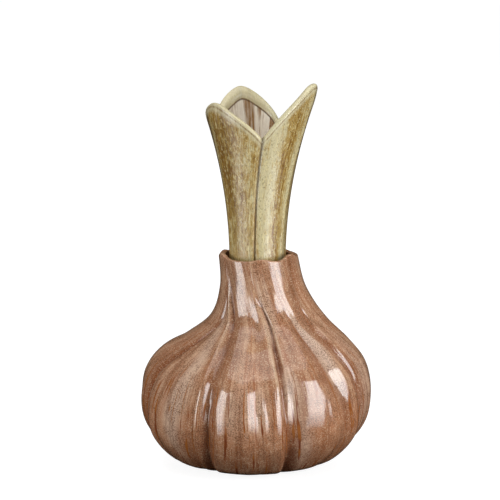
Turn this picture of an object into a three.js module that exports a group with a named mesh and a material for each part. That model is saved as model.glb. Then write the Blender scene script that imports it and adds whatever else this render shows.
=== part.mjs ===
// A glazed stoneware vase in two pieces: a garlic bulb with a wavy collar, and the leaf stalk that
// stands inside it and lifts out. Millimetres, +Z up. The foot rests on z = 0 and the stalk's axis is
// x = y = 0. Angles are in degrees, seen from above: 0 faces -Y, the front, and 90 faces +X.
import * as THREE from "three";
import { mergeVertices } from "three/addons/utils/BufferGeometryUtils.js";

// Stalk sizes.
const STALK_RADIUS = 22.6;
const STALK_WALL = 4.2;
const STALK_FLOOR = 4;
const FOOT_CHAMFER = 1.5;
const FLARE_START = 165;
const FLARE_END = 314;
const FLARE_GROWTH = 30;
const FLARE_POWER = 2;
const CURL_REACH = 17;
const CURL_WIDTH = 60;
const TWIST = 13.5;
const TWIST_TOP = 272;
const TWIST_POWER = 1.6;
const LEAF_LIP = 6;
const LIP_CROWN = 2.4;
const SEAM_DEPTH = 1.3;
const SEAM_WIDTH = 2.3;
const SEAM_LAP = 0.9;
const SEAM_LAP_EDGE = 0.6;
const SEAM_HOLLOW = 0.8;
const SEAM_HOLLOW_WIDTH = 14;
const KEEL_HEIGHT = 0.7;
const KEEL_WIDTH = 5;

// Bulb sizes.
const WALL = 4.2;
const COLLAR_GAP = 5.1;
const COLLAR_HEIGHT = 171;
const FOOT_RADIUS = 44;
const BELLY_RADIUS = 93;
const BELLY_HEIGHT = 57;
const NECK_RADIUS = 47;
const NECK_HEIGHT = 120;
const FOOT_RING_WIDTH = 9;
const RECESS_DEPTH = 3;
const RECESS_SLOPE = 2;
const FLOOR_THICKNESS = 4;
const FLOOR_CORNER = 6;
const RIM_CROWN = 1.2;
const SEAT_GAP = 0.3;

// What follows from those sizes.
const COLLAR_RADIUS = STALK_RADIUS + COLLAR_GAP + WALL;
const FLOOR_HEIGHT = RECESS_DEPTH + FLOOR_THICKNESS;
const STALK_FOOT = FLOOR_HEIGHT + SEAT_GAP;

// The bulb's meridian at evenly spaced stations from the foot to the rim: the radius over the crests of
// the cloves, the height, and how far that section lies towards +X and towards +Y.
const MERIDIAN = [
  { radius: FOOT_RADIUS, height: 0, right: -3, back: 0 },
  { radius: BELLY_RADIUS - 25, height: BELLY_HEIGHT - 49, right: -3, back: 1 },
  { radius: BELLY_RADIUS - 5, height: BELLY_HEIGHT - 27, right: -2.4, back: 1.5 },
  { radius: BELLY_RADIUS, height: BELLY_HEIGHT, right: -1.2, back: 1.5 },
  { radius: BELLY_RADIUS - 6.5, height: BELLY_HEIGHT + 26, right: 1.2, back: 1.5 },
  { radius: NECK_RADIUS + 21, height: NECK_HEIGHT - 18, right: 6.2, back: 2 },
  { radius: NECK_RADIUS, height: NECK_HEIGHT, right: 8.7, back: 6 },
  { radius: COLLAR_RADIUS + 3, height: COLLAR_HEIGHT - 26, right: 4.6, back: 2.4 },
  { radius: COLLAR_RADIUS, height: COLLAR_HEIGHT, right: 0.8, back: 0 },
];

// The grooves between the eight cloves, in order round the bulb. Each has its angle and its depth at
// the meridian's stations, how far it reaches to the left and to the right, and how round its bottom
// is, in degrees.
const GROOVES = [
  {
    angles: [-38, -33, -26.5, -24.8, -25.5, -30, -38.5, -49, -55],
    depths: [12, 11, 7, 4, 4, 4.6, 3.4, 1.2, 0.2],
    left: 4,
    right: 8,
    bottom: 0.8,
  },
  {
    angles: [26, 23, 18, 14.5, 12, 7.3, 1.2, -9, -14],
    depths: [2, 2, 2, 1.6, 2.6, 4, 2.4, 0, 0],
    left: 4,
    right: 3,
    bottom: 0.8,
  },
  {
    angles: [83, 81, 77, 70, 64, 55.2, 44.6, 40, 37],
    depths: [9, 10, 8, 7, 7, 5.5, 2.6, 0.4, 0],
    left: 12,
    right: 13,
    bottom: 0.8,
  },
  {
    angles: [114, 113, 111, 109, 106, 103, 99, 92, 86],
    depths: [10, 12, 12, 11, 10, 7, 3.5, 1, 0.2],
    left: 18,
    right: 18,
    bottom: 1,
  },
  {
    angles: [152, 151, 150, 150, 150, 149, 147, 144, 140],
    depths: [10, 12, 12, 11, 10, 7, 3.5, 1, 0.2],
    left: 19,
    right: 19,
    bottom: 1,
  },
  {
    angles: [195, 195, 195, 194, 193, 192, 191, 190, 188],
    depths: [10, 12, 12, 11, 10, 7, 3.5, 1, 0.2],
    left: 20,
    right: 20,
    bottom: 1,
  },
  {
    angles: [236, 236, 237, 238, 239, 241, 244, 247, 250],
    depths: [10, 12, 12, 11, 10, 7, 3.5, 1, 0.2],
    left: 20,
    right: 20,
    bottom: 1,
  },
  {
    angles: [276, 277, 280, 284, 289.3, 296, 302, 304, 303],
    depths: [8, 9, 7, 4.5, 4.5, 4, 2, 0.6, 0.2],
    left: 16,
    right: 12,
    bottom: 1,
  },
];

// The lesser creases of the skin between them, and its ribs, which are creases of negative depth.
const CREASES = [
  {
    angles: [27, 24.5, 19.9, 17, 13, 7.3, 1.2, -9, -14],
    depths: [9, 10, 5, 0.6, 0, 0, 0, 0, 0],
    left: 7,
    right: 6,
    bottom: 0.6,
  },
  {
    angles: [26, 23, 18.4, 14.8, 12.2, 7.3, 1.2, -9, -14],
    depths: [0, 0, 0.8, 1.3, 2.2, 2.8, 2.4, 0, 0],
    left: 2.6,
    right: 2,
    bottom: 0.3,
  },
  {
    angles: [23, 20.5, 16.3, 13.2, 10, 4.4, -2.6, -13, -20],
    depths: [0, 0, -0.6, -1.2, -1.8, -2, -1.6, -0.2, 0],
    left: 2.4,
    right: 1.6,
    bottom: 0.5,
  },
  {
    angles: [22, 20, 16, 14, 10, 2, -6, -14.5, -20],
    depths: [0, 0, 0, 0, 0, -0.2, -2.2, -0.2, 0],
    left: 10,
    right: 3,
    bottom: 0.6,
  },
  {
    angles: [27, 26, 22.5, 19.2, 15.5, 9, 3, -6, -12],
    depths: [2, 3, 4.4, 5.6, 4.4, 1.6, 0, 0, 0],
    left: 7,
    right: 24,
    bottom: 3,
  },
  {
    angles: [-4, -4, -4.5, -5.3, -8.6, -13, -20, -26, -30],
    depths: [-1, -2, -3.6, -4.8, -4, -1.4, 0.1, 0, 0],
    left: 30,
    right: 12,
    bottom: 0.8,
  },
  {
    angles: [56, 55, 55, 53, 44, 36, 26, 18, 14],
    depths: [1, 2, 2.5, 3.8, 6, 5, 1.2, 0, 0],
    left: 11,
    right: 7,
    bottom: 0.8,
  },
  {
    angles: [58, 57, 57, 55, 48.5, 39, 28.5, 20, 14],
    depths: [0, 0, 0.5, 1.5, 3, 3, 0.8, 0, 0],
    left: 8,
    right: 6,
    bottom: 2,
  },
  {
    angles: [-40, -38, -32, -29.2, -29.2, -34.6, -43.6, -54, -60],
    depths: [0, 0, -0.8, -2.4, -2, -1.6, -1, -0.4, 0],
    left: 14,
    right: 2.4,
    bottom: 0.5,
  },
  {
    angles: [-66, -65, -63, -60, -57, -57, -56, -56, -56],
    depths: [0.5, 1, 1.2, 1.4, 1.6, 1.2, 0.3, 0, 0],
    left: 4,
    right: 5,
    bottom: 0.6,
  },
  {
    angles: [-46, -40, -33.5, -31, -30, -30, -30, -30, -30],
    depths: [3, 4, 2, 0, 0, 0, 0, 0, 0],
    left: 7,
    right: 6,
    bottom: 1.5,
  },
  {
    angles: [90, 87, 83, 73.5, 67.5, 58.6, 48.6, 44, 41],
    depths: [0, -0.3, -0.5, 0, -0.8, -1.6, -1, -0.2, 0],
    left: 3,
    right: 3,
    bottom: 0.4,
  },
];

// The clove on the -X side is shorter than the others, and its domed shoulder is tucked under the neck.
const SHORT_CLOVE = { angle: 266, spread: 30, radius: 94, top: 107.5, side: 13, blend: 0.8 };

// The rim's waves: each rises at an angle, over a half-width in degrees, from the low line of the rim.
const RIM_LOW = -1.6;
const RIM_WAVE_START = 0.86;
const RIM_WAVES = [
  { angle: -72, height: 3.3, width: 15 },
  { angle: 5, height: 2, width: 14 },
  { angle: 58, height: 3.8, width: 14 },
  { angle: 110, height: 0.3, width: 15 },
  { angle: 152, height: 2.6, width: 18 },
  { angle: 200, height: 2.4, width: 16 },
  { angle: 246, height: 2.2, width: 13 },
];

// The stalk's three leaves: the seam where each begins and the notch's height there, then its tip. The
// roundness runs from 0, straight edges, to 1, an arch. The tip curls in, and the lip's inner edge lies
// lower than its outer edge by the drop.
const LEAVES = [
  { seam: 7, notch: 267, tip: 71, height: 309.6, roundness: 0.45, bluntness: 0.16, curl: 2.4, drop: 2 },
  { seam: 142, notch: 265, tip: 198, height: 301.6, roundness: 0.55, bluntness: 0.12, curl: 3, drop: 8 },
  { seam: 250, notch: 267, tip: 303, height: 295.6, roundness: 0.75, bluntness: 0.16, curl: 4.4, drop: 3 },
];

// Facets.
const CLOVE_STEPS = 12;
const LEAF_STEPS = 18;
const EDGE_CROWDING = 0.6;
const BULB_OUTER_ROWS = 28;
const BULB_INNER_ROWS = 14;
const BULB_INNER_LOWEST = 0.12;
const RIM_ROWS = 3;
const STALK_OUTER_ROWS = 22;
const STALK_INNER_ROWS = 14;
const LIP_ROWS = 4;

const { clamp, degToRad, euclideanModulo, lerp, smoothstep } = THREE.MathUtils;

// A smooth curve through evenly spaced stations, read at t from 0 to 1.
function through(values) {
  const curve = new THREE.SplineCurve(values.map((value) => new THREE.Vector2(value, 0)));
  return (t) => curve.getPoint(clamp(t, 0, 1)).x;
}

const meridianRadius = through(MERIDIAN.map((station) => station.radius));
const meridianHeight = through(MERIDIAN.map((station) => station.height));
const meridianRight = through(MERIDIAN.map((station) => station.right));
const meridianBack = through(MERIDIAN.map((station) => station.back));
const creaseCurves = ({ angles, depths, ...shape }) => {
  return { angle: through(angles), depth: through(depths), ...shape };
};
const grooves = GROOVES.map(creaseCurves);
const creases = [...grooves, ...CREASES.map(creaseCurves)];

// An angle brought between -180 and 180.
function turned(angle) {
  return euclideanModulo(angle + 180, 360) - 180;
}

// A distance whose corner at 0 is rounded off.
function rounded(distance, radius) {
  return Math.sqrt(distance * distance + radius * radius) - radius;
}

function bell(distance, width) {
  return Math.exp(-((distance / width) ** 2));
}

// The larger of two lengths, with the corner between them blended.
function larger(a, b, blend) {
  const most = Math.max(a, b);
  return most + Math.log(Math.exp(blend * (a - most)) + Math.exp(blend * (b - most))) / blend;
}

function polarPoint(radius, angle, height, right = 0, back = 0) {
  const turn = degToRad(angle);
  return new THREE.Vector3(radius * Math.sin(turn) + right, back - radius * Math.cos(turn), height);
}

// How far a groove, a crease or a rib draws the skin in at an angle and a station t.
function creaseFall({ angle: centre, depth, left, right, bottom }, angle, t) {
  const away = turned(angle - centre(t));
  const share = rounded(away, bottom) / (away < 0 ? left : right);
  return depth(t) * Math.max(1 - share, 0) ** 2;
}

// The short clove's own radius at a height, or a radius that adds nothing below its middle.
function shortCloveRadius(angle, height, right) {
  const { radius, top, side, spread } = SHORT_CLOVE;
  const rise = clamp((height - BELLY_HEIGHT) / (top - BELLY_HEIGHT), 0, 1);
  const away = turned(angle - SHORT_CLOVE.angle) / spread;
  return radius * (1 - rise * rise) ** 0.25 - side * away * away - right * Math.sin(degToRad(angle));
}

function rimWave(angle) {
  const waves = RIM_WAVES.map((wave) => wave.height * bell(turned(angle - wave.angle), wave.width));
  return waves.reduce((sum, wave) => sum + wave, RIM_LOW);
}

// The bulb's skin at a clove, a share across it and a station t from the foot to the rim, sunk by a
// depth square to the meridian.
function bulbPoint(clove, share, t, sunk) {
  const here = grooves[clove];
  const next = grooves[(clove + 1) % grooves.length];
  const width = euclideanModulo(next.angle(t) - here.angle(t), 360);
  const angle = here.angle(t) + share * width;
  const height = meridianHeight(t);
  const right = meridianRight(t);
  let radius = meridianRadius(t);
  for (const crease of creases) radius -= creaseFall(crease, angle, t);
  if (height > BELLY_HEIGHT) {
    const blended = larger(radius, shortCloveRadius(angle, height, right), SHORT_CLOVE.blend);
    radius = lerp(radius, blended, smoothstep(height, BELLY_HEIGHT, BELLY_HEIGHT + 20));
  }
  const step = 0.001;
  const run = meridianRadius(t + step) - meridianRadius(t - step);
  const climb = meridianHeight(t + step) - meridianHeight(t - step);
  const slope = Math.atan2(run, climb);
  const wave = rimWave(angle) * smoothstep(t, RIM_WAVE_START, 1);
  return polarPoint(
    radius - sunk * Math.cos(slope),
    angle,
    height + wave + sunk * Math.sin(slope),
    right,
    meridianBack(t),
  );
}

// The height of the leaves' outer edge at an angle, and how far the lip's inner edge lies below it.
function leafEdge(angle) {
  for (const [index, leaf] of LEAVES.entries()) {
    const next = LEAVES[(index + 1) % LEAVES.length];
    const width = euclideanModulo(next.seam - leaf.seam, 360);
    const place = euclideanModulo(angle - leaf.seam, 360);
    if (place > width) continue;
    const tip = euclideanModulo(leaf.tip - leaf.seam, 360);
    const rising = place < tip;
    const share = rising ? place / tip : (width - place) / (width - tip);
    const straight = 1 - rounded(1 - share, leaf.bluntness) / rounded(1, leaf.bluntness);
    const arch = Math.sin((Math.PI / 2) * share);
    const low = rising ? leaf.notch : next.notch;
    const top = low + (leaf.height - low) * lerp(straight, arch, leaf.roundness);
    return { top, drop: leaf.drop * smoothstep(share, 0, 0.8) };
  }
  throw new Error("the leaves leave a gap at " + angle);
}

function stalkRadius(angle, height) {
  const flare = clamp((height - FLARE_START) / (FLARE_END - FLARE_START), 0, 1.2);
  let radius = STALK_RADIUS + FLARE_GROWTH * flare ** FLARE_POWER;
  for (const { seam, tip, height: tipHeight, curl } of LEAVES) {
    const away = turned(angle - seam);
    radius -= SEAM_DEPTH * bell(away, SEAM_WIDTH) + SEAM_HOLLOW * bell(away, SEAM_HOLLOW_WIDTH);
    radius += (SEAM_LAP * bell(away, SEAM_HOLLOW_WIDTH)) / (1 + Math.exp(away / SEAM_LAP_EDGE));
    const beside = turned(angle - tip);
    const rise = clamp(1 - (tipHeight - height) / CURL_REACH, 0, 1.5);
    radius += KEEL_HEIGHT * bell(beside, KEEL_WIDTH) - curl * bell(beside, CURL_WIDTH) * rise ** 2;
  }
  return radius;
}

// A point of the stalk, whose leaves are turned a little below the height where they part.
function stalkPoint(angle, height, inset = 0, drop = 0) {
  const share = clamp((height - COLLAR_HEIGHT) / (TWIST_TOP - COLLAR_HEIGHT), 0, 1);
  const twist = TWIST * (1 - share ** TWIST_POWER);
  return polarPoint(stalkRadius(angle, height) - inset, angle - twist, height - drop);
}

// A closed solid from rings of points that run up the outside, over the edge and down the inside. The
// first and last rings are closed by fans to points at their centres.
function shell(rings) {
  const count = rings[0].length;
  const centres = [rings[0], rings.at(-1)].map((ring) =>
    ring.reduce((sum, point) => sum.add(point), new THREE.Vector3()).divideScalar(count),
  );
  const index = [];
  const bottom = rings.length * count;
  const inside = bottom + 1;
  const last = (rings.length - 1) * count;
  for (let i = 0; i < count; i++) {
    const next = (i + 1) % count;
    index.push(bottom, next, i);
    index.push(inside, last + i, last + next);
    for (let row = 0; row < rings.length - 1; row++) {
      const low = row * count;
      const high = low + count;
      index.push(low + i, low + next, high + next);
      index.push(low + i, high + next, high + i);
    }
  }
  const geometry = new THREE.BufferGeometry().setFromPoints([...rings.flat(), ...centres]);
  geometry.setIndex(index);
  return mergeVertices(geometry);
}

function steps(count, from, to) {
  return Array.from({ length: count + 1 }, (_, i) => lerp(from, to, i / count));
}

// Shares of the way across a clove or a leaf, drawn closer together towards both of its edges.
function edgeShares(count) {
  return Array.from({ length: count }, (_, i) => {
    const even = i / count;
    return lerp(even, (1 - Math.cos(Math.PI * even)) / 2, EDGE_CROWDING);
  });
}

function cloveRing(pointAt) {
  return grooves.flatMap((_, clove) => edgeShares(CLOVE_STEPS).map((share) => pointAt(clove, share)));
}

function bulbGeometry() {
  const outer = steps(BULB_OUTER_ROWS, 0, 1).map((t) =>
    cloveRing((clove, share) => bulbPoint(clove, share, t, 0)),
  );
  const inner = steps(BULB_INNER_ROWS, 1, BULB_INNER_LOWEST).map((t) =>
    cloveRing((clove, share) => bulbPoint(clove, share, t, WALL)),
  );
  const rim = steps(RIM_ROWS, 0, 1)
    .slice(1, -1)
    .map((share) =>
      outer.at(-1).map((point, i) => {
        const over = point.clone().lerp(inner[0][i], share);
        over.z += RIM_CROWN * Math.sin(Math.PI * share);
        return over;
      }),
    );
  // A ring like the foot's, drawn towards the foot's centre.
  const drawnIn = (ring, inset, height) =>
    ring.map((point) => {
      const centre = new THREE.Vector3(MERIDIAN[0].right, MERIDIAN[0].back, point.z);
      const reach = point.distanceTo(centre);
      const moved = centre.clone().lerp(point, 1 - inset / reach);
      moved.z = height;
      return moved;
    });
  const foot = outer[0];
  const recess = drawnIn(foot, FOOT_RING_WIDTH + RECESS_SLOPE, RECESS_DEPTH);
  const ringInside = drawnIn(foot, FOOT_RING_WIDTH, 0);
  const floor = drawnIn(inner.at(-1), FLOOR_CORNER, FLOOR_HEIGHT);
  return shell([recess, ringInside, ...outer, ...rim, ...inner, floor]);
}

function stalkRing(pointAt) {
  return LEAVES.flatMap(({ seam }, leaf) => {
    const width = euclideanModulo(LEAVES[(leaf + 1) % LEAVES.length].seam - seam, 360);
    return edgeShares(LEAF_STEPS).map((share) => pointAt(seam + share * width));
  });
}

function stalkGeometry() {
  const outer = steps(STALK_OUTER_ROWS, 0, 1).map((climb) =>
    stalkRing((angle) => stalkPoint(angle, lerp(STALK_FOOT + FOOT_CHAMFER, leafEdge(angle).top, climb))),
  );
  const lip = steps(LIP_ROWS, 0, 1)
    .slice(1)
    .map((across) =>
      stalkRing((angle) => {
        const { top, drop } = leafEdge(angle);
        const inwards = (LEAF_LIP * (1 - Math.cos(Math.PI * across))) / 2;
        return stalkPoint(angle, top, inwards, drop * across - LIP_CROWN * Math.sin(Math.PI * across));
      }),
    );
  const inner = steps(STALK_INNER_ROWS, 1, 0)
    .slice(1)
    .map((climb) =>
      stalkRing((angle) => {
        const { top, drop } = leafEdge(angle);
        const height = lerp(STALK_FOOT + STALK_FLOOR, top, climb);
        const wall = lerp(STALK_WALL, LEAF_LIP, smoothstep(height, FLARE_START, top));
        return stalkPoint(angle, height, wall, drop * climb);
      }),
    );
  const foot = stalkRing((angle) => stalkPoint(angle, STALK_FOOT, FOOT_CHAMFER));
  return shell([foot, ...outer, ...lip, ...inner]);
}

function glazedPiece(name, geometry, color) {
  const glaze = new THREE.MeshStandardMaterial({ color, roughness: 0.18, metalness: 0 });
  const piece = new THREE.Mesh(geometry, glaze);
  piece.name = name;
  return piece;
}

const vase = new THREE.Group();
vase.add(glazedPiece("bulb", bulbGeometry(), 0xa87a66));
vase.add(glazedPiece("stalk", stalkGeometry(), 0xb5a575));

export default vase;
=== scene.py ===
"""The looks of a two-piece garlic vase: a speckled terracotta bulb and a khaki leaf stalk, both glazed.

The surfaces are formulas in millimetres, +Z up, with the stalk's axis at x = y = 0. Angles are in
degrees, seen from above: 0 faces -Y, the front, and 90 faces +X. The camera and the set are in metres.
"""
import math

import bpy
import numpy as np
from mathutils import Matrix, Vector


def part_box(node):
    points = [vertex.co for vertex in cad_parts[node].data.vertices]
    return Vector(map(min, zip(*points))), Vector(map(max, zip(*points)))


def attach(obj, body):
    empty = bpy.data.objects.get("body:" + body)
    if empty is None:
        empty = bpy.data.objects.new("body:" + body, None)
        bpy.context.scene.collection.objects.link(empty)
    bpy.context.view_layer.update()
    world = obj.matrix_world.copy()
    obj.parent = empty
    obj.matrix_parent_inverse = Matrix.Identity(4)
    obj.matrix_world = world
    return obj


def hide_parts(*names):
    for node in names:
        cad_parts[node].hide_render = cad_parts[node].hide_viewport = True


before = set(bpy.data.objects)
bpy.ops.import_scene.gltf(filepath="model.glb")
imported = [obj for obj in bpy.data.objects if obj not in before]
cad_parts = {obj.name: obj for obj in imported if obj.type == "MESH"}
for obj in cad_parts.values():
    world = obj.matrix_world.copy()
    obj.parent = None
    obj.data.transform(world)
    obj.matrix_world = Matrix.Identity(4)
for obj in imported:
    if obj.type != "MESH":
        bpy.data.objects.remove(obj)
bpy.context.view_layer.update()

MM = 0.001

# Stalk sizes. The foot's height comes from the frame.
STALK_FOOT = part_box("stalk")[0].z / MM
STALK_RADIUS = 22.6
STALK_WALL = 4.2
STALK_FLOOR = 4
FOOT_CHAMFER = 1.5
FLARE_START = 165
FLARE_END = 314
FLARE_GROWTH = 30
FLARE_POWER = 2
CURL_REACH = 17
CURL_WIDTH = 60
LEAF_LIP = 6
LIP_CROWN = 2.4
SEAM_DEPTH = 1.3
SEAM_WIDTH = 2.3
SEAM_LINE_WIDTH = SEAM_WIDTH * 0.7
SEAM_LAP = 0.9
SEAM_LAP_EDGE = 0.6
SEAM_HOLLOW = 0.8
SEAM_HOLLOW_WIDTH = 14
KEEL_HEIGHT = 0.7
KEEL_WIDTH = 5
TWIST = 13.5
TWIST_TOP = 272
TWIST_POWER = 1.6

# Bulb sizes.
WALL = 4.2
COLLAR_GAP = 5.1
COLLAR_HEIGHT = 171
FOOT_RADIUS = 44
BELLY_RADIUS = 93
BELLY_HEIGHT = 57
NECK_RADIUS = 47
NECK_HEIGHT = 120
FOOT_RING_WIDTH = 9
RECESS_DEPTH = 3
RECESS_SLOPE = 2
FLOOR_HEIGHT = 7
FLOOR_CORNER = 6
RIM_CROWN = 1.2
BARE_HEIGHT = 2
COLLAR_RADIUS = STALK_RADIUS + COLLAR_GAP + WALL

# The bulb's meridian at evenly spaced stations from the foot to the rim: the radius over the crests of
# the cloves, the height, and how far that section lies towards +X and towards +Y.
MERIDIAN = [
    (FOOT_RADIUS, 0, -3, 0),
    (BELLY_RADIUS - 25, BELLY_HEIGHT - 49, -3, 1),
    (BELLY_RADIUS - 5, BELLY_HEIGHT - 27, -2.4, 1.5),
    (BELLY_RADIUS, BELLY_HEIGHT, -1.2, 1.5),
    (BELLY_RADIUS - 6.5, BELLY_HEIGHT + 26, 1.2, 1.5),
    (NECK_RADIUS + 21, NECK_HEIGHT - 18, 6.2, 2),
    (NECK_RADIUS, NECK_HEIGHT, 8.7, 6),
    (COLLAR_RADIUS + 3, COLLAR_HEIGHT - 26, 4.6, 2.4),
    (COLLAR_RADIUS, COLLAR_HEIGHT, 0.8, 0),
]

# The grooves between the eight cloves, the lesser creases and the ribs of the skin. Each has its angle
# and its depth at the meridian's stations, how far it reaches to the left and to the right, and how
# round its bottom is, in degrees. A rib is a crease of negative depth.
GROOVES = [
    (
        [-38, -33, -26.5, -24.8, -25.5, -30, -38.5, -49, -55],
        [12, 11, 7, 4, 4, 4.6, 3.4, 1.2, 0.2],
        4,
        8,
        0.8,
    ),
    ([26, 23, 18, 14.5, 12, 7.3, 1.2, -9, -14], [2, 2, 2, 1.6, 2.6, 4, 2.4, 0, 0], 4, 3, 0.8),
    ([83, 81, 77, 70, 64, 55.2, 44.6, 40, 37], [9, 10, 8, 7, 7, 5.2, 1.4, 0.1, 0], 12, 13, 0.8),
    ([114, 113, 111, 109, 106, 103, 99, 92, 86], [10, 12, 12, 11, 10, 7, 3.5, 1, 0.2], 18, 18, 1),
    ([152, 151, 150, 150, 150, 149, 147, 144, 140], [10, 12, 12, 11, 10, 7, 3.5, 1, 0.2], 19, 19, 1),
    ([195, 195, 195, 194, 193, 192, 191, 190, 188], [10, 12, 12, 11, 10, 7, 3.5, 1, 0.2], 20, 20, 1),
    ([236, 236, 237, 238, 239, 241, 244, 247, 250], [10, 12, 12, 11, 10, 7, 3.5, 1, 0.2], 20, 20, 1),
    ([276, 277, 280, 284, 289.3, 296, 302, 304, 303], [8, 9, 7, 4.5, 4.5, 4, 2, 0.6, 0.2], 16, 12, 1),
]
CREASES = [
    ([27, 24.5, 19.9, 17, 13, 7.3, 1.2, -9, -14], [9, 10, 5, 0.6, 0, 0, 0, 0, 0], 7, 6, 0.6),
    ([26, 23, 18.4, 14.8, 12.2, 7.3, 1.2, -9, -14], [0, 0, 0.8, 1.3, 1.9, 2, 1.6, 0, 0], 2.6, 2, 0.3),
    (
        [23, 20.5, 16.3, 13.2, 10, 4.4, -2.6, -13, -20],
        [0, 0, -0.6, -1.2, -1.8, -2, -1.6, -0.2, 0],
        2.4,
        1.6,
        0.5,
    ),
    ([22, 20, 16, 14, 10, 2, -6, -14.5, -20], [0, 0, 0, 0, 0, -0.2, -2.5, -0.3, 0], 11, 3, 0.6),
    ([27, 26, 22.5, 19.2, 15.5, 9, 3, -6, -12], [2, 3, 4.4, 5.6, 4.4, 1.6, 0, 0, 0], 7, 24, 3),
    (
        [-4, -4, -4.5, -5.3, -8.6, -13, -20, -26, -30],
        [-1, -2, -3.6, -5.4, -4.6, -1.4, 0.1, 0, 0],
        30,
        12,
        0.8,
    ),
    ([56, 55, 54.5, 52, 43.5, 36, 26, 18, 14], [1, 2, 2.5, 3.8, 6.4, 5.4, 2, 0, 0], 11, 9.5, 0.8),
    ([58, 57, 57, 55, 48.5, 39, 28.5, 20, 14], [0, 0, 0, 0.4, 1.2, 2, 0.8, 0, 0], 8, 6, 2),
    ([40, 40, 40, 39, 34.8, 28, 21, 14, 10], [0, 0.3, 0.6, 0.9, 0.6, 0, 0, 0, 0], 3, 1.5, 0.4),
    ([6, 5, 3, 1.6, -1.8, -6.4, -13.2, -22, -26], [0.4, 0.6, 0.8, 1.0, 0.7, 0.5, 0.2, 0, 0], 2, 1.6, 0.3),
    (
        [-30, -28, -25, -24.8, -21, -25.5, -33, -44, -50],
        [0.8, 1, 1.2, 0.8, 0.3, 0.3, 0.2, 0, 0],
        1.2,
        1.6,
        0.3,
    ),
    (
        [-40, -38, -32, -29.2, -29.2, -34.6, -43.6, -54, -60],
        [0, 0, -0.8, -2.4, -2, -1.6, -1, -0.4, 0],
        14,
        2.4,
        0.5,
    ),
    (
        [-56, -54, -52, -50, -46.6, -51.7, -56, -60, -62],
        [0, -0.3, -0.5, -0.6, -0.6, -0.5, 0, 0, 0],
        4,
        1.5,
        0.4,
    ),
    ([-66, -65, -63, -60, -57, -57, -56, -56, -56], [0.5, 1, 1.2, 1.4, 1.6, 1.2, 0.3, 0, 0], 4, 5, 0.6),
    (
        [-84, -83, -80, -76, -70.7, -64, -58, -56, -56],
        [0, 0, 0.8, 1.4, 1.6, 1.6, 0.8, 0.3, 0],
        2,
        3.5,
        0.3,
    ),
    ([-100, -98, -96, -92, -87, -80, -72, -66, -62], [0, 0.6, 1, 1.2, 1.4, 1.2, 0.4, 0, 0], 3, 4, 0.4),
    ([-46, -40, -33.5, -31, -30, -30, -30, -30, -30], [3, 4, 2, 0, 0, 0, 0, 0, 0], 7, 6, 1.5),
    ([88, 87, 84, 80, 73, 66, 58, 54, 50], [0.5, 0.8, 0.8, 0.8, 0.8, 0.7, 0.6, 0.5, 0.2], 4, 3, 0.4),
    ([90, 87, 83, 73.5, 66, 58.4, 51.5, 45, 41], [0, -0.3, -0.5, 0, -0.8, -1.6, -1.2, -0.2, 0], 3, 3, 0.4),
    ([7, 6, 4, 2.4, -1, -6, -13, -22, -26], [0, 0, -0.6, -1.1, -0.3, 0, 0, 0, 0], 0.8, 5, 0.2),
    ([56, 54, 52, 50, 48, 46, 46, 50, 52], [0, 0, 0, 0, 0, 0, 1.4, 1.8, 1], 30, 30, 1),
]

# Bands of painted sheen and painted reflection, paler, and of painted shade, browner where the strength is
# below 0: each has its angle and strength at the meridian's stations, and its half-width.
SHEEN_AND_SHADE_BANDS = [
    ([-50, -49, -48.5, -45.5, -41.5, -43, -52, -60, -64], [0, 0.3, 0.9, 1, 0.85, 0.8, 0.6, 0, 0], 7),
    ([60, 57, 55, 52, 46.6, 41.5, 30, 22, 16], [0, 0, 0, 0.2, 1, 1.7, 1.4, 0.1, 0], 4),
    ([16, 15, 13, 11, 8, 5, 1, -5, -10], [0, 0, 0, 0, 0, 0.5, 1.2, 1, 0], 3),
    ([36, 32, 28, 22, 17, 12, 6, 0, -6], [0, 0.3, 0.6, 0.6, 0.8, 0, 0, 0, 0], 6),
    ([26, 25, 24, 22, 18, 14, 9, 4, 0], [0, 0, 0, 0, 0, 0, 0.8, 0.7, 0], 4),
    ([84, 82, 80, 78, 74, 68, 60, 54, 50], [0, 0.2, 0.5, 0.6, 0.6, 0.5, 0.2, 0, 0], 8),
    ([-12, -12, -12, -12, -12.5, -14, -16, -20, -24], [0, 0, 0, 0.5, 0.6, 0, 0, 0, 0], 4),
    ([-3, -3.5, -4, -4.8, -6.5, -9, -12, -16, -20], [0, 0, 0.1, 0.4, 0.4, 0, 0, 0, 0], 3.5),
    ([16, 16.5, 18, 18.6, 17.2, 15, 12, 8, 4], [0, 0, 0, 0.2, 1, 0.2, 0, 0, 0], 2.5),
    ([-20, -22, -23.6, -24.6, -26, -32, -40, -48, -56], [0, -0.2, -0.6, -0.8, -0.9, -0.9, -0.5, 0, 0], 4),
    ([-52, -51.5, -52.5, -56, -60, -62, -64, -66, -68], [-0.3, -0.6, -0.5, 0, 0, 0, 0, 0, 0], 5),
    ([4, 3, 2.5, 2, 1, 0, -2, -6, -10], [0, 0, 0, 0.8, 0.8, 0, 0, 0, 0], 3),
    ([-10, -11, -12, -14, -15.5, -21.5, -29, -36, -40], [0, 0, 0, 0, -0.5, -1, -0.9, 0, 0], 6),
    ([10, 9, 8, 7, 5, -1, -8, -14, -18], [0, 0, 0, 0, -0.7, -1, -0.4, 0, 0], 6),
    ([30, 28, 27, 25, 22, 17.5, 12, 6, 2], [0, 0, 0, 0, 0, -0.8, -0.5, 0, 0], 5),
    ([40, 38, 36, 34, 33, 33, 34, 43, 53], [0, 0, 0, 0, 0, 0, -0.4, -0.7, -0.6], 8),
]

# The clove on the -X side is shorter than the others, with a domed shoulder tucked under the neck. It
# parts from the meridian over the height SHORT_START above the belly.
SHORT_ANGLE = 266
SHORT_SPREAD = 30
SHORT_RADIUS = 94
SHORT_TOP = 107.5
SHORT_SIDE = 13
SHORT_BLEND = 0.8
SHORT_START = 20
SHORT_DOME_POWER = 0.25

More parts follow.
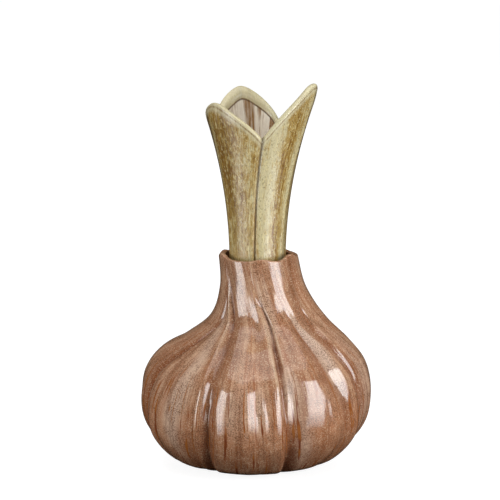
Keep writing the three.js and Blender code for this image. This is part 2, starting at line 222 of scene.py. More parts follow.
# The rim's waves: angle, height above the low line of the rim, and half-width.
RIM_LOW = -1.6
RIM_WAVE_START = 0.86
RIM_WAVES = [
    (-72, 3.3, 15),
    (5, 2, 14),
    (58, 3.8, 14),
    (110, 0.3, 15),
    (152, 2.6, 18),
    (200, 2.4, 16),
    (246, 2.2, 13),
]

# The stalk's leaves: the seam where each begins, the notch's height there, the tip's angle and height,
# how round the leaf's edge is, how blunt its tip is, how far the tip curls in, and how far the lip's
# inner edge lies below its outer edge.
LEAVES = [
    (7, 267, 71, 309.6, 0.45, 0.16, 2.4, 2),
    (142, 265, 198, 301.6, 0.55, 0.12, 3, 8),
    (250, 267, 303, 295.6, 0.75, 0.16, 4.4, 3),
]

# The stalk's glaze is browner in some bands and paler in others, and the brown bands at 95 and 318, on the
# sides seen at the outlines, also carry painted shade there: each has its angle and half-width.
BROWN_AND_SHADE_BANDS = [(50, 9), (95, 13), (208, 26), (318, 34)]
PALE_BANDS = [(20, 15), (68, 7), (160, 20), (262, 16)]

# Painted shade: dark lines down each leaf beside its keel and down its flanks, where the sides turn away
# from the light: each has its angle and half-width.
KEEL_SHADE_LINES = [(73, 1.8), (86, 7), (200, 1.8), (284, 5), (288, 1.8)]

# Brown stains run down the inside of the leaves: each has its angle and half-width.
STAIN_BANDS = [(30, 14), (95, 12), (158, 7), (186, 7), (214, 8), (275, 12), (330, 14)]

# What the stalk's glaze reads of its bands, by name.
BAND_NAMES = ("seam", "brown_and_shade", "pale", "keel_shade", "stain")

# How far the skin falls below the meridian where it counts as open and where it counts as a groove's
# bottom. On a rib it falls by less than 0.
HOLLOW_NONE = -4
HOLLOW_FULL = 8

# The bend of the skin is evened out over the columns beside it, by these shares.
BEND_SHARES = ((-2, 0.1), (-1, 0.25), (0, 0.3), (1, 0.25), (2, 0.1))

# How finely the surfaces are drawn. The columns are evenly spaced by the share EVEN_SHARE, and otherwise
# lie closer together beside the grooves and the seams.
EVEN_SHARE = 0.4
CLOVE_COLUMNS = 36
BULB_OUTER_ROWS = 190
BULB_INNER_ROWS = 80
BULB_INNER_LOWEST = 0.12
RIM_ROWS = 10
LEAF_COLUMNS = 100
STALK_OUTER_ROWS = 190
STALK_INNER_ROWS = 110
LIP_ROWS = 12

# The panels' light is very slightly cool, and the world adds a little to it from all round.
PANEL_COLOUR = (0.98, 1, 1.02)
WORLD_LIGHT = 0.12


def through(values):
    """A smooth curve through evenly spaced stations, read at t from 0 to 1."""
    stations = np.asarray(values, float)
    last = len(stations) - 1

    def at(t):
        place = np.clip(t, 0, 1) * last
        i = np.minimum(np.floor(place).astype(int), last - 1)
        share = place - i
        before, start, end, after = (stations[np.clip(i + k, 0, last)] for k in (-1, 0, 1, 2))
        leaving, arriving = (end - before) / 2, (after - start) / 2
        cubic = 2 * start - 2 * end + leaving + arriving
        square = -3 * start + 3 * end - 2 * leaving - arriving
        return ((cubic * share + square) * share + leaving) * share + start

    return at


meridian_radius, meridian_height, meridian_right, meridian_back = (
    through(column) for column in zip(*MERIDIAN)
)
groove_curves, crease_curves, sheen_and_shade_curves = (
    [(through(angles), through(depths), *shape) for angles, depths, *shape in lines]
    for lines in (GROOVES, CREASES, SHEEN_AND_SHADE_BANDS)
)


def turned(angle):
    """An angle brought between -180 and 180."""
    return (np.asarray(angle, float) + 180) % 360 - 180


def smoothstep(x, low, high):
    share = np.clip((x - low) / (high - low), 0, 1)
    return share * share * (3 - 2 * share)


def rounded(distance, radius):
    """A distance whose corner at 0 is rounded off."""
    return np.sqrt(distance * distance + radius * radius) - radius


def bell(distance, width):
    return np.exp(-((distance / width) ** 2))


def eased_steps(count):
    """Steps from 0 towards 1, without 1 itself, that lie closer together near both ends."""
    even = np.arange(count) / count
    return EVEN_SHARE * even + (1 - EVEN_SHARE) * (1 - np.cos(np.pi * even)) / 2


def larger(a, b, blend):
    """The larger of two lengths, with the corner between them blended."""
    most = np.maximum(a, b)
    return most + np.log(np.exp(blend * (a - most)) + np.exp(blend * (b - most))) / blend


def polar(radius, angle, height, right=0.0, back=0.0):
    turn = np.radians(angle)
    x, y = radius * np.sin(turn) + right, -radius * np.cos(turn) + back
    return np.stack(np.broadcast_arrays(x, y, height), -1)


def crease_fall(angle, t, crease):
    """How far a crease draws the skin in at an angle and a station."""
    centre, depth, left, right, bottom = crease
    away = turned(angle - centre(t))
    share = rounded(away, bottom) / np.where(away < 0, left, right)
    return depth(t) * np.clip(1 - share, 0, 1) ** 2


def short_clove_radius(angle, height, right):
    rise = np.clip((height - BELLY_HEIGHT) / (SHORT_TOP - BELLY_HEIGHT), 0, 1)
    away = turned(angle - SHORT_ANGLE) / SHORT_SPREAD
    dome = SHORT_RADIUS * (1 - rise * rise) ** SHORT_DOME_POWER
    return dome - SHORT_SIDE * away**2 - right * np.sin(np.radians(angle))


def rim_wave(angle):
    return RIM_LOW + sum(height * bell(turned(angle - at), width) for at, height, width in RIM_WAVES)


def bulb_rows(t, sunk):
    """Rows of the bulb's skin at the stations t, sunk by a depth square to the meridian: the points, how
    deep each lies in its groove, from 0 to 1, how sharply the skin bends there, and the strength of the
    painted sheen and painted shade."""
    t = np.asarray(t, float)[:, None]
    share = eased_steps(CLOVE_COLUMNS)[None, :]
    starts = [curve[0](t) for curve in groove_curves]
    widths = [(end - start) % 360 for start, end in zip(starts, starts[1:] + starts[:1])]
    angle = np.concatenate([start + share * width for start, width in zip(starts, widths)], 1)
    height, right, back = meridian_height(t), meridian_right(t), meridian_back(t)
    step = 0.001
    run = meridian_radius(t + step) - meridian_radius(t - step)
    climb = meridian_height(t + step) - meridian_height(t - step)
    slope = np.arctan2(run, climb)
    fall = sum(crease_fall(angle, t, crease) for crease in groove_curves + crease_curves)
    radius = meridian_radius(t) - fall
    tall = larger(radius, short_clove_radius(angle, height, right), SHORT_BLEND)
    above = smoothstep(height, BELLY_HEIGHT, BELLY_HEIGHT + SHORT_START)
    radius = radius + above * (tall - radius)
    wave = rim_wave(angle) * smoothstep(t, RIM_WAVE_START, 1)
    points = polar(radius - sunk * np.cos(slope), angle, height + wave + sunk * np.sin(slope), right, back)
    sheen_and_shade = sum(
        strength(t) * bell(turned(angle - centre(t)), width) for centre, strength, width in sheen_and_shade_curves
    )
    hollow = np.clip((fall - HOLLOW_NONE) / (HOLLOW_FULL - HOLLOW_NONE), 0, 1)
    return points, hollow, skin_bend(angle, radius), sheen_and_shade


def skin_bend(angle, radius):
    """How sharply a ring bends at each of its points: above 0 in a crease and below 0 on a rib."""
    arc = turned(np.roll(angle, -1, 1) - np.roll(angle, 1, 1)) * radius / BELLY_RADIUS
    slope = (np.roll(radius, -1, 1) - np.roll(radius, 1, 1)) / arc
    bend = (np.roll(slope, -1, 1) - np.roll(slope, 1, 1)) / arc
    return sum(share * np.roll(bend, by, 1) for by, share in BEND_SHARES)


def leaf_edge(angle):
    """The height of the leaves' outer edge, and how far the lip's inner edge lies below it."""
    top, drop = np.zeros(angle.shape), np.zeros(angle.shape)
    for index, (seam, notch, tip, height, roundness, bluntness, _, lip_drop) in enumerate(LEAVES):
        next_seam, next_notch = LEAVES[(index + 1) % len(LEAVES)][:2]
        width, reach = (next_seam - seam) % 360, (tip - seam) % 360
        place = (angle - seam) % 360
        here = place <= width
        rising = place < reach
        along = np.clip(np.where(rising, place / reach, (width - place) / (width - reach)), 0, 1)
        straight = 1 - rounded(1 - along, bluntness) / rounded(1, bluntness)
        arch = np.sin(np.pi / 2 * along)
        low = np.where(rising, notch, next_notch)
        edge = low + (height - low) * (straight + roundness * (arch - straight))
        top, drop = np.where(here, edge, top), np.where(here, lip_drop * smoothstep(along, 0, 0.8), drop)
    return top, drop


def stalk_radius(angle, height):
    flare = np.clip((height - FLARE_START) / (FLARE_END - FLARE_START), 0, 1.2)
    radius = STALK_RADIUS + FLARE_GROWTH * flare**FLARE_POWER
    for seam, _, tip, tip_height, _, _, curl, _ in LEAVES:
        away = turned(angle - seam)
        radius = radius - SEAM_DEPTH * bell(away, SEAM_WIDTH) - SEAM_HOLLOW * bell(away, SEAM_HOLLOW_WIDTH)
        radius = radius + SEAM_LAP * bell(away, SEAM_HOLLOW_WIDTH) / (1 + np.exp(away / SEAM_LAP_EDGE))
        beside = turned(angle - tip)
        rise = np.clip(1 - (tip_height - height) / CURL_REACH, 0, 1.5)
        radius = radius + KEEL_HEIGHT * bell(beside, KEEL_WIDTH) - curl * bell(beside, CURL_WIDTH) * rise**2
    return radius


def stalk_point(angle, height, inset=0.0, drop=0.0):
    """A point of the stalk, whose leaves are turned a little below the height where they part."""
    share = np.clip((height - COLLAR_HEIGHT) / (TWIST_TOP - COLLAR_HEIGHT), 0, 1)
    twist = TWIST * (1 - share**TWIST_POWER)
    return polar(stalk_radius(angle, height) - inset, angle - twist, height - drop)


def build_mesh(name, rings, attributes):
    """A smooth closed mesh from rings that run up the outside, over the edge and down the inside, with
    each end closed by a fan. attributes has the values of what the glaze reads, by name, ring by ring."""
    rows, count = len(rings), rings.shape[1]
    ends = rings[[0, -1]].mean(1)
    vertices = np.concatenate([rings.reshape(-1, 3), ends]) * MM
    grid = np.arange(rows * count).reshape(rows, count)
    right = np.roll(grid, -1, 1)
    quads = np.stack([grid[:-1], right[:-1], right[1:], grid[1:]], -1).reshape(-1, 4)
    first = [(rows * count, right[0, i], grid[0, i]) for i in range(count)]
    last = [(rows * count + 1, grid[-1, i], right[-1, i]) for i in range(count)]
    mesh = bpy.data.meshes.new(name)
    mesh.from_pydata(vertices.tolist(), [], quads.tolist() + [[int(v) for v in f] for f in first + last])
    mesh.shade_smooth()
    for key, values in attributes.items():
        flat = values.reshape(rows * count, -1)
        caps = [values[i].mean(0).reshape(1, -1) for i in (0, -1)]
        flat = np.concatenate([flat, *caps])
        kind = "FLOAT" if flat.shape[1] == 1 else "FLOAT_VECTOR"
        layer = mesh.attributes.new(key, kind, "POINT")
        layer.data.foreach_set("value" if kind == "FLOAT" else "vector", flat.astype(np.float32).ravel())
    piece = bpy.data.objects.new(name, mesh)
    bpy.context.scene.collection.objects.link(piece)
    return piece


def along_rows(values, rows, columns):
    """Values that each hold over a number of rows, written for every column of them."""
    return np.broadcast_to(np.repeat(values, rows)[:, None], (sum(rows), columns))


def flow_coordinates(angles, lengths):
    """Coordinates that run with the columns of a surface: two round it, from a column's angle, and one
    along it, so that a pattern drawn out along the third becomes streaks."""
    turn = np.radians(angles)
    shape = (len(lengths), len(angles))
    around = np.broadcast_to(np.cos(turn), shape), np.broadcast_to(np.sin(turn), shape)
    return np.stack([around[0], around[1], np.broadcast_to(np.asarray(lengths)[:, None], shape)], -1)


def drawn_in(ring, inset, height):
    """A ring of the bulb drawn in towards the foot's centre and laid flat at a height."""
    centre = np.array([meridian_right(0), meridian_back(0), 0])
    flat = ring * [1, 1, 0] - centre
    reach = np.linalg.norm(flat, axis=1, keepdims=True)
    return centre + flat * (1 - inset / reach) + [0, 0, height]


def make_bulb():
    outer_t = np.linspace(0, 1, BULB_OUTER_ROWS + 1)
    inner_t = np.linspace(1, BULB_INNER_LOWEST, BULB_INNER_ROWS + 1)
    outer, *skin = bulb_rows(outer_t, 0)
    inner = bulb_rows(inner_t, WALL)[0]
    across = np.linspace(0, 1, RIM_ROWS + 1)[1:-1, None, None]
    rim = outer[-1] + (inner[0] - outer[-1]) * (1 - np.cos(np.pi * across)) / 2
    rim[..., 2] += RIM_CROWN * np.sin(np.pi * across[..., 0])
    recess = drawn_in(outer[0], FOOT_RING_WIDTH + RECESS_SLOPE, RECESS_DEPTH)
    ring_inside = drawn_in(outer[0], FOOT_RING_WIDTH, 0)
    floor = drawn_in(inner[-1], FLOOR_CORNER, FLOOR_HEIGHT)
    rings = np.concatenate([recess[None], ring_inside[None], outer, rim, inner, floor[None]])
    columns = outer.shape[1]
    before, after = np.zeros((2, columns)), np.zeros((len(rim) + len(inner) + 1, columns))
    hollows, bends, sheens_and_shades = (np.concatenate([before, values, after]) for values in skin)
    bare = np.concatenate([before + 1, 1 - smoothstep(outer[..., 2], BARE_HEIGHT / 2, BARE_HEIGHT), after])
    inside = along_rows([0, 0.5, 1], [2 + len(outer), len(rim), len(inner) + 1], columns)
    lengths = np.concatenate([[0, 0], outer_t, np.ones(len(rim)), inner_t, [0]])
    flow = flow_coordinates(360 * np.arange(columns) / columns, lengths)
    attributes = {"hollow": hollows, "bend": bends, "sheen_and_shade": sheens_and_shades, "bare": bare, "inside": inside}
    attributes["flow"] = flow
    return build_mesh("bulb_glazed", rings, attributes)


def make_stalk():
    eased = eased_steps(LEAF_COLUMNS)
    seams = [leaf[0] for leaf in LEAVES]
    widths = [(after - seam) % 360 for seam, after in zip(seams, seams[1:] + seams[:1])]
    angle = np.concatenate([seam + width * eased for seam, width in zip(seams, widths)])[None, :]
    top, drop = leaf_edge(angle)
    climb = np.linspace(0, 1, STALK_OUTER_ROWS + 1)[:, None]
    height = STALK_FOOT + FOOT_CHAMFER + (top - STALK_FOOT - FOOT_CHAMFER) * climb
    outer = stalk_point(angle, height)
    across = np.linspace(0, 1, LIP_ROWS + 1)[1:, None]
    fallen = drop * across - LIP_CROWN * np.sin(np.pi * across)
    lip = stalk_point(angle, top, LEAF_LIP * (1 - np.cos(np.pi * across)) / 2, fallen)
    sink = np.linspace(1, 0, STALK_INNER_ROWS + 1)[1:, None]
    deep = STALK_FOOT + STALK_FLOOR + (top - STALK_FOOT - STALK_FLOOR) * sink
    wall = STALK_WALL + (LEAF_LIP - STALK_WALL) * smoothstep(deep, FLARE_START, top)
    inner = stalk_point(angle, deep, wall, drop * sink)
    foot = stalk_point(angle, STALK_FOOT, FOOT_CHAMFER)
    rings = np.concatenate([foot, outer, lip, inner])
    below_edge = np.concatenate([top - STALK_FOOT, top - height, np.zeros(lip.shape[:2]), top - deep])
    inside = along_rows([0, 0.5, 1], [1 + len(outer), len(lip), len(inner)], angle.shape[1])
    seam_away = np.min([abs(turned(angle - seam)) for seam in seams], axis=0)
    seam = bell(seam_away, SEAM_LINE_WIDTH)
    brown_and_shade, pale, keel_shade, stain = (
        np.max([bell(turned(angle - centre), width) for centre, width in bands], axis=0)
        for bands in (BROWN_AND_SHADE_BANDS, PALE_BANDS, KEEL_SHADE_LINES, STAIN_BANDS)
    )
    lengths = np.concatenate([[0], climb[:, 0], np.ones(LIP_ROWS), sink[:, 0]])
    attributes = {"below_edge": below_edge, "inside": inside}
    for name, values in zip(BAND_NAMES, (seam, brown_and_shade, pale, keel_shade, stain)):
        attributes[name] = np.broadcast_to(values, inside.shape)
    attributes["flow"] = flow_coordinates(angle[0], lengths)
    return build_mesh("stalk_glazed", rings, attributes)


class Shader:
    """A material's node tree, built from the output of one node to the input of the next."""

    def __init__(self, name):
        self.material = bpy.data.materials.new(name)
        self.material.use_nodes = True
        self.tree = self.material.node_tree
        self.tree.nodes.clear()

    def node(self, kind, inputs=None, output=0, **settings):
        made = self.tree.nodes.new(kind)
        for key, value in settings.items():
            setattr(made, key, value)
        for key, value in (inputs or {}).items():
            if isinstance(value, bpy.types.NodeSocket):
                self.tree.links.new(value, made.inputs[key])
            else:
                made.inputs[key].default_value = value
        return made.outputs[output]

    def attribute(self, name, vector=False):
        return self.node("ShaderNodeAttribute", output="Vector" if vector else "Fac", attribute_name=name)

    def math(self, operation, a, b):
        return self.node("ShaderNodeMath", {0: a, 1: b}, operation=operation)

    def ramp(self, value, low, high, start=0.0, end=1.0):
        """A smooth change from start to end as the value goes from low to high."""
        inputs = {"Value": value, "From Min": low, "From Max": high, "To Min": start, "To Max": end}
        return self.node("ShaderNodeMapRange", inputs, interpolation_type="SMOOTHSTEP")

    def scaled(self, vector, scale):
        return self.node("ShaderNodeMapping", {"Vector": vector, "Scale": scale})

    def noise(self, vector, scale, detail, roughness):
        inputs = {"Vector": vector, "Scale": scale, "Detail": detail, "Roughness": roughness}
        return self.node("ShaderNodeTexNoise", inputs)

    def bump(self, height, strength, distance, before=None):
        """A normal tilted by a height. It adds to the bump before it, if there is one."""
        inputs = {"Height": height, "Strength": strength, "Distance": distance}
        if before is not None:
            inputs["Normal"] = before
        return self.node("ShaderNodeBump", inputs, output="Normal")

    def mix(self, share, a, b):
        """A mix of two colours, whose sockets on the node are numbers 6 and 7 in and 2 out."""
        return self.node("ShaderNodeMix", {0: share, 6: a, 7: b}, output=2, data_type="RGBA")

    def finish(self, shader):
        output = self.tree.nodes.new("ShaderNodeOutputMaterial")
        self.tree.links.new(shader, output.inputs["Surface"])
        return self.material


def srgb(red, green, blue):
    """A colour written as on screen, from 0 to 255, as linear light."""
    def linear(value):
        value /= 255
        return value / 12.92 if value <= 0.04045 else ((value + 0.055) / 1.055) ** 2.4

    return (linear(red), linear(green), linear(blue), 1.0)


def bulb_glaze():
    s = Shader("bulb_glaze")
    place = s.node("ShaderNodeTexCoord", output="Object")
    flow = s.attribute("flow", vector=True)
    hollow, bend, sheen_and_shade = s.attribute("hollow"), s.attribute("bend"), s.attribute("sheen_and_shade")
    bare, inside = s.attribute("bare"), s.attribute("inside")
    height = s.node("ShaderNodeSeparateXYZ", {0: place}, output="Z")

    # Clouds of two terracottas, browner in the grooves, warmer low on the belly and darker at the foot as
    # painted shade.
    cloud = s.noise(s.scaled(flow, (9, 9, 5)), 1, 4, 0.6)
    colour = s.mix(s.ramp(cloud, 0.36, 0.64), srgb(182, 131, 99), srgb(204, 162, 130))
    colour = s.mix(s.ramp(hollow, 0.25, 0.75), colour, srgb(142, 88, 60))
    colour = s.mix(s.ramp(height, 0.08, 0.035, 0, 0.35), colour, srgb(212, 136, 90))
    # Painted shade: darker towards the foot, where less light falls.
    colour = s.mix(s.ramp(height, 0.055, 0.0, 0, 0.55), colour, srgb(112, 70, 46))

    # Long bands of browner glaze, then the bands of painted sheen, paler, and of painted shade, browner.
    band = s.noise(s.scaled(flow, (22, 22, 1.6)), 1, 3, 0.6)
    colour = s.mix(s.ramp(band, 0.5, 0.62, 0, 0.6), colour, srgb(158, 98, 62))
    colour = s.mix(s.ramp(sheen_and_shade, 0.05, 1, 0, 0.75), colour, srgb(222, 192, 168))
    colour = s.mix(s.ramp(sheen_and_shade, -0.05, -1, 0, 0.75), colour, srgb(140, 92, 64))

    # Brown gathers where the skin bends in, and the glaze thins over the ribs above the foot.
    colour = s.mix(s.ramp(bend, 0.6, 2.2, 0, 0.4), colour, srgb(124, 74, 48))
    thinned = s.math("MULTIPLY", s.ramp(bend, -0.35, -1.5, 0, 0.5), s.ramp(height, 0.03, 0.09))
    colour = s.mix(thinned, colour, srgb(216, 188, 158))

    # Brown hairs, and dark and pale specks that lie thicker in some patches.
    density = s.noise(place, 70, 3, 0.6)
    grain = s.noise(place, 1150, 1, 0.5)
    hair = s.noise(s.scaled(flow, (62, 62, 5)), 1, 3, 0.6)
    colour = s.mix(s.ramp(hair, 0.48, 0.68, 0, 0.5), colour, srgb(134, 82, 52))
    dark = s.math("MULTIPLY", s.ramp(grain, 0.48, 0.58), s.ramp(density, 0.4, 0.58, 0.12, 0.75))
    colour = s.mix(dark, colour, srgb(104, 68, 46))
    pale = s.noise(place, 1000, 1, 0.5)
    light = s.math("MULTIPLY", s.ramp(pale, 0.52, 0.68), s.ramp(density, 0.6, 0.4, 0.2, 0.6))
    colour = s.mix(light, colour, srgb(226, 196, 162))

    # Amber drips, most of them round the belly and below it, and the inside darkened as painted shade.
    thin = s.noise(s.scaled(flow, (44, 44, 5)), 1, 2, 0.5)
    low = s.ramp(height, 0.11, 0.06, 0.12, 1)
    drips = s.math("MULTIPLY", s.ramp(thin, 0.59, 0.63), low)
    amber = s.mix(s.ramp(density, 0.4, 0.6), srgb(122, 56, 24), srgb(164, 96, 40))
    colour = s.mix(s.math("MULTIPLY", drips, 0.9), colour, amber)
    colour = s.mix(s.ramp(inside, 0.7, 1.0, 0, 0.75), colour, srgb(70, 44, 36))

    # The surface waves a little, ripples along its grooves and is rougher on dark specks and on the
    # strongest bands of painted sheen.
    wave = s.noise(place, 45, 2, 0.5)
    ripple = s.noise(s.scaled(flow, (16, 16, 2.5)), 1, 2, 0.5)
    waved = s.bump(wave, 0.25, 0.0015)
    rippled = s.bump(ripple, 0.15, 0.0012, waved)
    fine = s.bump(grain, 0.05, 0.0003, rippled)
    roughness = s.math("ADD", s.ramp(dark, 0, 1, 0.12, 0.17), s.ramp(sheen_and_shade, 1, 1.5, 0, 0.3))
    glaze = s.node(
        "ShaderNodeBsdfPrincipled",
        {"Base Color": colour, "Roughness": roughness, "IOR": 1.75, "Normal": fine},
    )

    # The foot ring is bare clay.
    clay = s.mix(s.ramp(grain, 0.4, 0.65), srgb(206, 186, 160), srgb(180, 154, 126))
    unglazed = s.node("ShaderNodeBsdfPrincipled", {"Base Color": clay, "Roughness": 0.85, "Normal": fine})
    return s.finish(s.node("ShaderNodeMixShader", {0: bare, 1: glaze, 2: unglazed}))


def stalk_glaze():
    s = Shader("stalk_glaze")
    place = s.node("ShaderNodeTexCoord", output="Object")
    height = s.node("ShaderNodeSeparateXYZ", {0: place}, output="Z")
    flow = s.attribute("flow", vector=True)
    edge, inside = s.attribute("below_edge"), s.attribute("inside")
    seam, brown_and_shade, pale, keel_shade, stain = (s.attribute(name) for name in BAND_NAMES)

    # Streaks from pale khaki over ochre to brown, which lean to brown or pale in their bands; the lean to
    # brown at the outlines is painted shade.
    broad = s.noise(s.scaled(flow, (5, 5, 3)), 1, 4, 0.65)
    lean = s.math("SUBTRACT", s.math("MULTIPLY", brown_and_shade, 0.07), s.math("MULTIPLY", pale, 0.06))
    lean = s.math("MULTIPLY", lean, s.ramp(height, 0.17, 0.25, 0.5, 1))
    mottle = s.noise(s.scaled(place, (420, 420, 110)), 1, 4, 0.7)
    streak = s.noise(s.scaled(flow, (40, 40, 9)), 1, 4, 0.75)
    cover = s.math("ADD", s.math("MULTIPLY", broad, 0.35), s.math("MULTIPLY", mottle, 0.3))
    cover = s.math("ADD", s.math("ADD", cover, s.math("MULTIPLY", streak, 0.35)), lean)
    colour = s.mix(s.ramp(cover, 0.44, 0.53), srgb(211, 198, 154), srgb(180, 147, 80))
    colour = s.mix(s.ramp(cover, 0.52, 0.61), colour, srgb(134, 96, 38))

    # Light flecks and dark grains.
    light = s.noise(s.scaled(place, (560, 560, 200)), 1, 3, 0.7)
    colour = s.mix(s.ramp(light, 0.52, 0.62, 0, 0.6), colour, srgb(230, 214, 158))
    grain = s.noise(s.scaled(place, (900, 900, 560)), 1, 2, 0.6)
    colour = s.mix(s.ramp(grain, 0.55, 0.66, 0, 0.5), colour, srgb(104, 76, 38))

    # Dark lines down the leaves as painted shade, pale lips with a broken brown line in them, and dark
    # seams.
    colour = s.mix(s.math("MULTIPLY", keel_shade, s.ramp(height, 0.17, 0.25, 0.4, 0.8)), colour, srgb(84, 60, 34))
    # The pale lips are partly thinned glaze and partly a painted highlight along their rounded edge.
    colour = s.mix(s.ramp(edge, 8, 2, 0, 0.75), colour, srgb(222, 213, 176))
    rim_line = s.math("MULTIPLY", s.ramp(edge, 0.6, 1.6), s.ramp(edge, 3.4, 2))
    broken_line = s.math("MULTIPLY", rim_line, s.ramp(streak, 0.4, 0.6, 0.2, 0.9))
    colour = s.mix(broken_line, colour, srgb(136, 98, 42))
    # The dark seams are painted shade in the seams' grooves.
    seam_shade_line = s.math("MULTIPLY", seam, s.ramp(mottle, 0.35, 0.65, 0.95, 0.7))
    colour = s.mix(seam_shade_line, colour, srgb(74, 54, 34))

    # A pale inside with brown stains and a brown line along its edge.
    within = s.ramp(inside, 0.6, 1.0)
    patch = s.noise(s.scaled(flow, (6, 6, 4)), 1, 4, 0.6)
    patch = s.math("ADD", patch, s.math("MULTIPLY", stain, 0.14))
    lining = s.mix(s.ramp(patch, 0.5, 0.66), srgb(252, 242, 224), srgb(160, 122, 80))
    lining = s.mix(rim_line, lining, srgb(92, 64, 38))
    colour = s.mix(within, colour, lining)

    # The surface waves a little and is ribbed along its streaks.
    wave = s.noise(place, 60, 2, 0.5)
    ribs = s.bump(streak, 0.3, 0.0006, s.bump(wave, 0.3, 0.0012))
    roughness = s.ramp(mottle, 0.4, 0.6, 0.18, 0.3)
    glaze = s.node(
        "ShaderNodeBsdfPrincipled",
        {"Base Color": colour, "Roughness": roughness, "IOR": 1.7, "Normal": ribs},
    )
    return s.finish(glaze)


def make_camera():
    """A long lens in front of the vase and a little above it, aimed so that the vase sits as in the
    photograph, whose frame is 500 pixels wide."""
    distance = 2.6
    elevation = math.radians(10.5)
    sensor_width = 36
    metres_per_pixel = 0.000804
    frame_pixels = 500
    axis_column = 257.5
    base_row = 463.4
    centre_height = 0.150
    back = Vector((0, -math.cos(elevation), math.sin(elevation)))
    up = Vector((0, math.sin(elevation), math.cos(elevation)))
    right_shift = (frame_pixels / 2 - axis_column) * metres_per_pixel
    up_shift = (base_row - frame_pixels / 2) * metres_per_pixel - centre_height * math.cos(elevation)
    target = Vector((right_shift, 0, centre_height)) + up * up_shift
    data = bpy.data.cameras.new("camera")
    data.sensor_width = sensor_width
    data.lens = sensor_width * distance / (frame_pixels * metres_per_pixel)
    data.clip_end = 50
    camera = bpy.data.objects.new("camera", data)
    camera.location = target + back * distance
    camera.rotation_euler = (-back).to_track_quat("-Z", "Y").to_euler()
    bpy.context.scene.collection.objects.link(camera)
    bpy.context.scene.camera = camera


def make_panel(name, azimuth, distance, size, height, radiance, tilt=0.0, fade=0.0, glossy=True):
    """A softbox that faces the vase at an angle round it, with its centre at a height, and looks down by the
    tilt in degrees. The fade is the share of its height over which it dims towards its lower edge. The
    glaze mirrors it if it is glossy."""
    data = bpy.data.lights.new(name, "AREA")
    data.shape = "RECTANGLE"
    data.size, data.size_y = size
    data.color = PANEL_COLOUR
    data.energy = radiance * math.pi * size[0] * size[1]
    if fade:
        data.use_nodes = True
        tree = data.node_tree
        place = tree.nodes.new("ShaderNodeNewGeometry")
        split = tree.nodes.new("ShaderNodeSeparateXYZ")
        dim = tree.nodes.new("ShaderNodeMapRange")
        dim.inputs["From Max"].default_value = fade
        tree.links.new(place.outputs["Parametric"], split.inputs[0])
        tree.links.new(split.outputs["Y"], dim.inputs["Value"])
        tree.links.new(dim.outputs[0], tree.nodes["Emission"].inputs["Strength"])
    panel = bpy.data.objects.new(name, data)
    turn = math.radians(azimuth)
    panel.location = (distance * math.sin(turn), -distance * math.cos(turn), height)
    towards = Vector((0, 0, height - distance * math.tan(math.radians(tilt)))) - panel.location
    panel.rotation_euler = towards.to_track_quat("-Z", "Y").to_euler()
    panel.visible_camera = False
    panel.visible_glossy = glossy
    bpy.context.scene.collection.objects.link(panel)


def make_world():
    """White to the camera, to reflections and through glass, and dim to the rest."""
    world = bpy.data.worlds.new("studio")
    world.use_nodes = True
    tree = world.node_tree
    tree.nodes.clear()
    ray = tree.nodes.new("ShaderNodeLightPath")
    seen = ray.outputs["Is Camera Ray"]
    for kind in ("Is Glossy Ray", "Is Transmission Ray"):
        either = tree.nodes.new("ShaderNodeMath")
        either.operation = "MAXIMUM"
        tree.links.new(seen, either.inputs[0])
        tree.links.new(ray.outputs[kind], either.inputs[1])
        seen = either.outputs[0]
    mix = tree.nodes.new("ShaderNodeMixShader")
    white, dim = (tree.nodes.new("ShaderNodeBackground") for _ in range(2))
    white.inputs["Color"].default_value = (1, 1, 1, 1)
    dim.inputs["Color"].default_value = (1, 1, 1, 1)
    dim.inputs["Strength"].default_value = WORLD_LIGHT
    output = tree.nodes.new("ShaderNodeOutputWorld")
    tree.links.new(seen, mix.inputs[0])
    tree.links.new(dim.outputs[0], mix.inputs[1])
    tree.links.new(white.outputs[0], mix.inputs[2])
    tree.links.new(mix.outputs[0], output.inputs["Surface"])
    bpy.context.scene.world = world


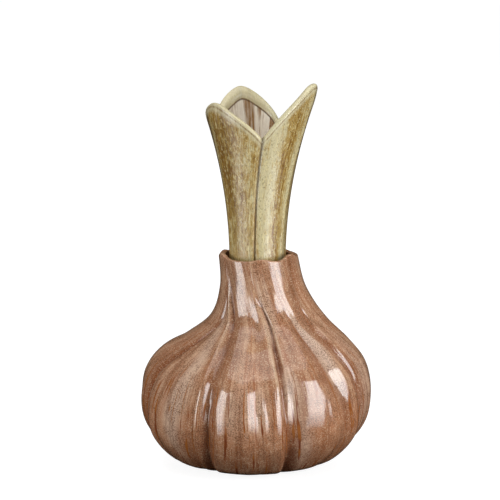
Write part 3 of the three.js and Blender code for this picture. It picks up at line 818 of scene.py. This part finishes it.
def make_dark_cloth():
    """Dark cloth hung all round and under the set, out of the picture and open above, which the glaze
    shows as the dark edges in the photograph."""
    rings = ((2.2, -1.6), (1.3, 2.2))
    sides = 48
    turns = [2 * math.pi * i / sides for i in range(sides)]
    points = [
        (radius * math.cos(turn), radius * math.sin(turn), height)
        for radius, height in rings
        for turn in turns
    ]
    faces = [(i, (i + 1) % sides, sides + (i + 1) % sides, sides + i) for i in range(sides)]
    mesh = bpy.data.meshes.new("dark_cloth")
    mesh.from_pydata(points, [], faces + [tuple(range(sides))])
    cloth = bpy.data.objects.new("dark_cloth", mesh)
    s = Shader("dark_cloth")
    cloth.data.materials.append(s.finish(s.node("ShaderNodeBsdfDiffuse", {"Color": (0.02, 0.02, 0.02, 1)})))
    cloth.visible_camera = cloth.visible_diffuse = cloth.visible_shadow = False
    bpy.context.scene.collection.objects.link(cloth)


def make_floor():
    """A wide pale floor, brighter to the camera than it is lit, that keeps the vase's shadow."""
    mesh = bpy.data.meshes.new("floor")
    half = 12
    corners = [(-half, -half, 0), (half, -half, 0), (half, half, 0), (-half, half, 0)]
    mesh.from_pydata(corners, [], [(0, 1, 2, 3)])
    floor = bpy.data.objects.new("floor", mesh)
    s = Shader("floor")
    paint = s.node("ShaderNodeBsdfDiffuse", {"Color": (0.3, 0.3, 0.3, 1)})
    place = s.node("ShaderNodeTexCoord", output="Object")
    away = s.node("ShaderNodeVectorMath", {0: place}, output="Value", operation="LENGTH")
    strength = s.ramp(away, 0.6, 2.5, 0.9, 0.98)
    glow = s.node("ShaderNodeEmission", {"Color": (1, 1, 1, 1), "Strength": strength})
    both = s.node("ShaderNodeAddShader", {0: paint, 1: glow})
    ray = s.node("ShaderNodeLightPath", output="Is Camera Ray")
    shader = s.node("ShaderNodeMixShader", {0: ray, 1: paint, 2: both})
    floor.data.materials.append(s.finish(shader))
    floor.visible_glossy = False
    bpy.context.scene.collection.objects.link(floor)


make_camera()
make_world()
make_floor()
make_dark_cloth()
make_panel("left_panel", azimuth=-60, distance=0.9, size=(0.43, 1.02), height=0.01, radiance=4.8, fade=0.3)
make_panel("right_panel", azimuth=48, distance=0.9, size=(0.57, 1.04), height=0.08, radiance=6, fade=0.3)
make_panel(
    "top_panel", azimuth=0, distance=0.15, size=(1.5, 1.3), height=1.3, radiance=2, tilt=80, glossy=False
)
make_panel(
    "back_panel", azimuth=180, distance=1.5, size=(1.6, 1), height=0.9, radiance=1.6, tilt=30, glossy=False
)
bpy.context.scene.view_settings.view_transform = "Standard"

bulb = make_bulb()
bulb.data.materials.append(bulb_glaze())
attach(bulb, "bulb")
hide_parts("bulb")

stalk = make_stalk()
stalk.data.materials.append(stalk_glaze())
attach(stalk, "stalk")
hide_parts("stalk")
